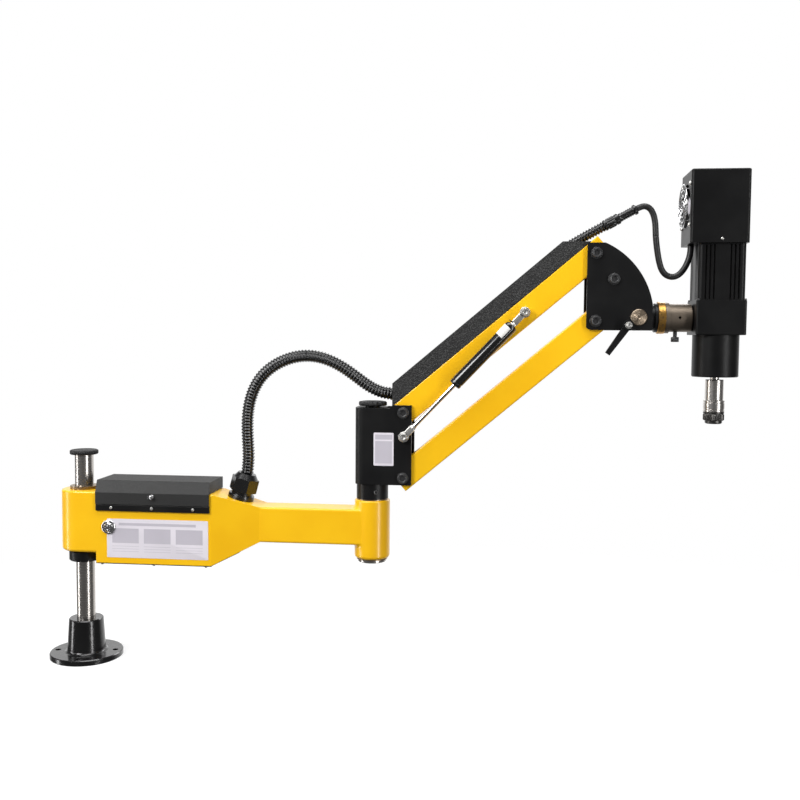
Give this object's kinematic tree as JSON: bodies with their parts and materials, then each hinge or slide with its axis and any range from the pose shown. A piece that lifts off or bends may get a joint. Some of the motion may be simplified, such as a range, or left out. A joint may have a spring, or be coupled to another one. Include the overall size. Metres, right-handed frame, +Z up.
{
  "type": "arm tapping machine",
  "caption": "Column-mounted swinging arm with a parallelogram link, gas spring and tilting head that carries a motor and a tap chuck, with a hose and cable",
  "frame": {"origin": "centre of the flange's underside, on the column's axis", "axes": "+Z up along the column, +X out along the base arm at rest, +Y to the back"},
  "size_m": [1.2925, 0.138, 0.92],
  "materials": {
    "cast_black": "gloss black enamel on cast iron",
    "ground_steel": "ground and polished steel bar",
    "cap_plastic": "black moulded plastic",
    "black_steel": "satin black coated steel",
    "yellow_paint": "gloss yellow powder coat",
    "bush_bronze": "turned bronze",
    "sheet_black": "black crinkle coated sheet steel",
    "zinc_screw": "zinc plated steel",
    "panel_plastic": "dark grey panel",
    "drive_aluminium": "plain aluminium",
    "bright_steel": "polished stainless steel",
    "lid_grey": "grey moulded lid with a fine grain",
    "gland_plastic": "black nylon",
    "hose_plastic": "black corrugated nylon",
    "cable_rubber": "black flexible sheath",
    "knob_plastic": "black moulded plastic",
    "brass_ring": "turned brass with engraved divisions",
    "blasted_steel": "bead blasted steel",
    "gear_grey": "dark anodised aluminium",
    "motor_black": "black coated extruded aluminium",
    "box_black": "satin black folded steel",
    "fan_plastic": "black moulded plastic",
    "guard_chrome": "chromed wire",
    "cylinder_paint": "gloss black tube"
  },
  "bodies": {
    "stand": {"base_flange": "cast_black", "column": "ground_steel", "column_cap": "cap_plastic"},
    "height_collar": {"stop_collar": "black_steel", "collar_screw": "black_steel"},
    "base_arm": {"arm_casting": "yellow_paint", "hub_bushes": "bush_bronze", "bottom_cover": "sheet_black", "console_strip": "sheet_black", "panel_screws": "zinc_screw", "control_panel": "panel_plastic", "servo_drive": "drive_aluminium", "gland_body": "gland_plastic", "gland_nut": "gland_plastic", "lid_hinge": "black_steel", "button_bezel": "bright_steel", "hose_lower": "hose_plastic"},
    "console_lid": {"console_lid": "lid_grey", "lid_knob": "zinc_screw"},
    "power_button": {"power_button": "bright_steel"},
    "swing_bracket": {"swing_post": "ground_steel", "post_collar": "black_steel", "bracket_channel": "black_steel", "swing_bolts": "black_steel", "spring_stud_lower": "black_steel", "hose_upper": "hose_plastic"},
    "lock_knob": {"lock_knob": "knob_plastic"},
    "upper_link": {"upper_link": "yellow_paint", "upper_link_bushes": "bush_bronze", "cable_cover": "sheet_black", "hose_tail": "hose_plastic", "strain_relief": "gland_plastic", "spring_stud_upper": "black_steel", "cable_first": "cable_rubber"},
    "lower_link": {"lower_link": "yellow_paint", "lower_link_bushes": "bush_bronze"},
    "gas_rod": {"gas_rod": "ground_steel"},
    "gas_cylinder": {"gas_cylinder": "cylinder_paint"},
    "head_bracket": {"head_plate_front": "black_steel", "head_plate_rear": "black_steel", "bracket_spacer": "ground_steel", "head_bolts": "black_steel", "cable_middle": "cable_rubber"},
    "tilt_knuckle": {"tilt_pin": "ground_steel", "tilt_knuckle": "black_steel", "angle_ring": "brass_ring", "cable_last": "cable_rubber"},
    "clamp_lever": {"clamp_lever": "black_steel"},
    "head": {"head_sleeve": "blasted_steel", "gear_housing": "gear_grey", "motor_body": "motor_black", "drive_box": "box_black", "fan_frame": "fan_plastic", "fan_guard": "guard_chrome", "output_housing": "gear_grey"},
    "thumb_screw": {"thumb_screw": "black_steel"},
    "fan_rotor": {"fan_rotor": "fan_plastic"},
    "spindle": {"spindle": "ground_steel", "tap_collet": "black_steel"},
    "chuck_sleeve": {"chuck_sleeve": "bright_steel"}
  },
  "joints": [
    {"name": "height_adjust", "type": "slide", "parent": "stand", "child": "height_collar", "axis": [0, 0, 1], "range_m": [-0.1, 0.055]},
    {"name": "base_swivel", "type": "hinge", "parent": "height_collar", "child": "base_arm", "pos_m": [0, 0, 0.27], "axis": [0, 0, 1], "continuous": true},
    {"name": "lid_hinge", "type": "hinge", "parent": "base_arm", "child": "console_lid", "pos_m": [0.1515, 0.0465, 0.3305], "axis": [-1, 0, 0], "range_deg": [0, 100]},
    {"name": "button_press", "type": "slide", "parent": "base_arm", "child": "power_button", "axis": [0, 1, 0], "range_m": [0, 0.0025], "stiffness_N_per_m": 800, "springref_m": -0.001},
    {"name": "arm_swivel", "type": "hinge", "parent": "base_arm", "child": "swing_bracket", "pos_m": [0.563, 0, 0.27], "axis": [0, 0, 1], "range_deg": [-150, 150], "deforming": ["hose_lower"]},
    {"name": "lock_turn", "type": "hinge", "parent": "swing_bracket", "child": "lock_knob", "pos_m": [0.563, 0, 0.5], "axis": [0, 0, 1], "range_deg": [-90, 90]},
    {"name": "arm_lift", "type": "hinge", "parent": "swing_bracket", "child": "upper_link", "pos_m": [0.623, 0, 0.4876], "axis": [0, -1, 0], "range_deg": [-50, 17], "deforming": ["hose_upper"]},
    {"name": "lower_pivot", "type": "hinge", "parent": "swing_bracket", "child": "lower_link", "pos_m": [0.623, 0, 0.3676], "axis": [0, -1, 0], "range_deg": [-50, 17]},
    {"name": "spring_foot", "type": "hinge", "parent": "swing_bracket", "child": "gas_rod", "pos_m": [0.625, -0.038, 0.4446], "axis": [0, -1, 0], "range_deg": [-47, 16]},
    {"name": "spring_head", "type": "hinge", "parent": "upper_link", "child": "gas_cylinder", "pos_m": [0.84068, -0.038, 0.67156], "axis": [0, -1, 0], "range_deg": [-1.1, 3.1]},
    {"name": "head_level", "type": "hinge", "parent": "upper_link", "child": "head_bracket", "pos_m": [0.96518, 0, 0.77676], "axis": [0, -1, 0], "range_deg": [-17, 50], "deforming": ["cable_first"]},
    {"name": "head_tilt", "type": "hinge", "parent": "head_bracket", "child": "tilt_knuckle", "pos_m": [1.04058, 0, 0.66356], "axis": [0, 1, 0], "range_deg": [-10, 30], "deforming": ["cable_middle"]},
    {"name": "lever_turn", "type": "hinge", "parent": "head_bracket", "child": "clamp_lever", "pos_m": [1.0216, 0, 0.64937], "axis": [0, 1, 0], "range_deg": [-30, 30]},
    {"name": "head_roll", "type": "hinge", "parent": "tilt_knuckle", "child": "head", "pos_m": [1.11058, 0, 0.66356], "axis": [1, 0, 0], "range_deg": [-90, 90], "deforming": ["cable_last"]},
    {"name": "thumb_turn", "type": "hinge", "parent": "head", "child": "thumb_screw", "pos_m": [1.10888, 0, 0.63356], "axis": [0, 0, 1], "range_deg": [-180, 180]},
    {"name": "fan_spin", "type": "hinge", "parent": "head", "child": "fan_rotor", "pos_m": [1.135, 0, 0.86096], "axis": [1, 0, 0], "continuous": true},
    {"name": "spindle_spin", "type": "hinge", "parent": "head", "child": "spindle", "pos_m": [1.17998, 0, 0.55], "axis": [0, 0, 1], "continuous": true},
    {"name": "sleeve_lift", "type": "slide", "parent": "spindle", "child": "chuck_sleeve", "axis": [0, 0, 1], "range_m": [0, 0.006], "stiffness_N_per_m": 900, "springref_m": -0.004}
  ],
  "couplings": [
    {"joint": "lower_pivot", "follows": "arm_lift", "ratio": 1},
    {"joint": "head_level", "follows": "arm_lift", "ratio": -1},
    {"joint": "spring_foot", "follows": "arm_lift", "ratio": 0.94},
    {"joint": "spring_head", "follows": "arm_lift", "ratio": -0.06}
  ]
}
